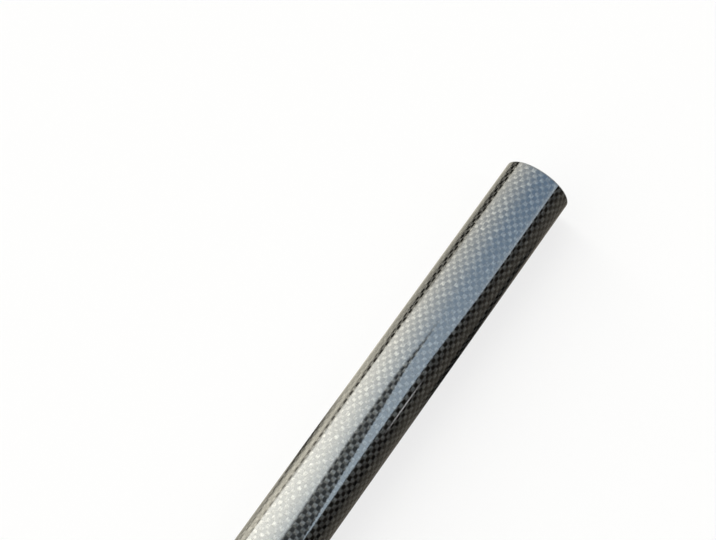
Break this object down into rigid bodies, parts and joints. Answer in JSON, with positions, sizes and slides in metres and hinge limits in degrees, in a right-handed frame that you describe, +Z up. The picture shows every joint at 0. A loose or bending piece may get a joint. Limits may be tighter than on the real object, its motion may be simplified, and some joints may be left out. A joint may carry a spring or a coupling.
{
  "type": "carbon fibre tube",
  "caption": "Straight round thin-walled tube of woven carbon fibre, open at both ends, used as a light stiff strut, boom or shaft.",
  "frame": {"origin": "on the floor under the middle of the lying tube", "axes": "+X along the tube's axis, +Z up, +Y across the tube"},
  "size_m": [0.5, 0.032, 0.032],
  "materials": {
    "carbon_weave": "gloss clear resin over plain-woven carbon fibre"
  },
  "bodies": {
    "root": {"tube": "carbon_weave"}
  },
  "joints": []
}
